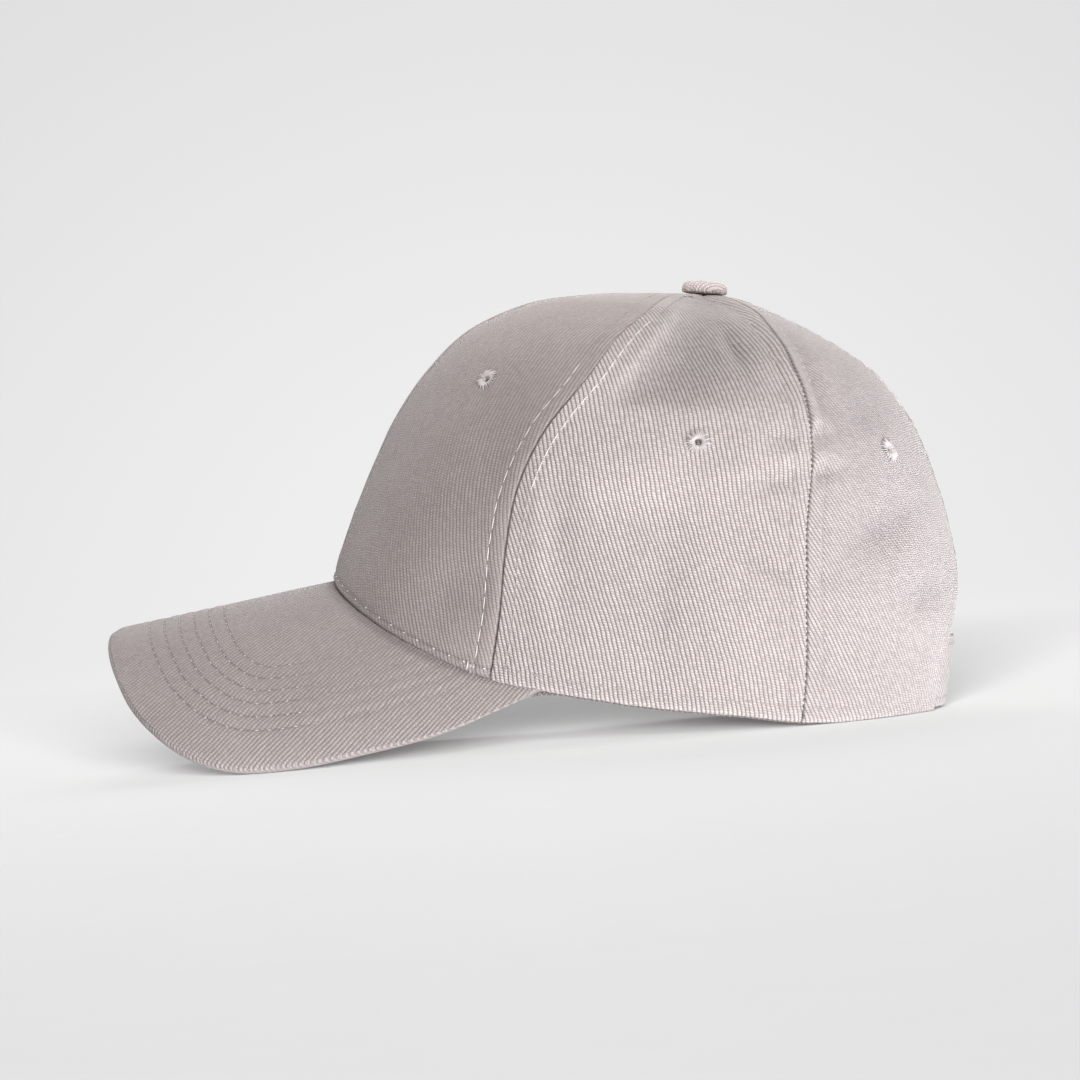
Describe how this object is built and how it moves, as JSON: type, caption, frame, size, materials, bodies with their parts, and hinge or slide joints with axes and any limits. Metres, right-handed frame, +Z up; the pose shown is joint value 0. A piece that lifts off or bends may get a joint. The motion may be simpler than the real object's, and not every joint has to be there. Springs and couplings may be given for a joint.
{
  "type": "six-panel cap",
  "caption": "Panelled twill cap with an arched peak, a covered button, embroidered eyelets and a half-moon back opening closed by a strap.",
  "frame": {"origin": "centre of the cap's footprint, on the surface that it rests on", "axes": "+Z up, the peak points to -Y, the wearer's left is +X"},
  "size_m": [0.1568, 0.2736, 0.1432],
  "materials": {
    "twill": "coarse cotton twill, light warm grey, matt with a soft sheen",
    "band_cloth": "plain woven cotton band, matt",
    "thread": "wound embroidery thread, soft gloss"
  },
  "bodies": {
    "root": {"panel_front_left": "twill", "panel_front_right": "twill", "panel_side_left": "twill", "panel_side_right": "twill", "panel_rear_left": "twill", "panel_rear_right": "twill", "peak": "twill", "button": "twill", "back_strap": "twill", "sweatband": "band_cloth", "eyelet_front_left": "thread", "eyelet_front_right": "thread", "eyelet_side_left": "thread", "eyelet_side_right": "thread", "eyelet_rear_left": "thread", "eyelet_rear_right": "thread"}
  },
  "joints": []
}
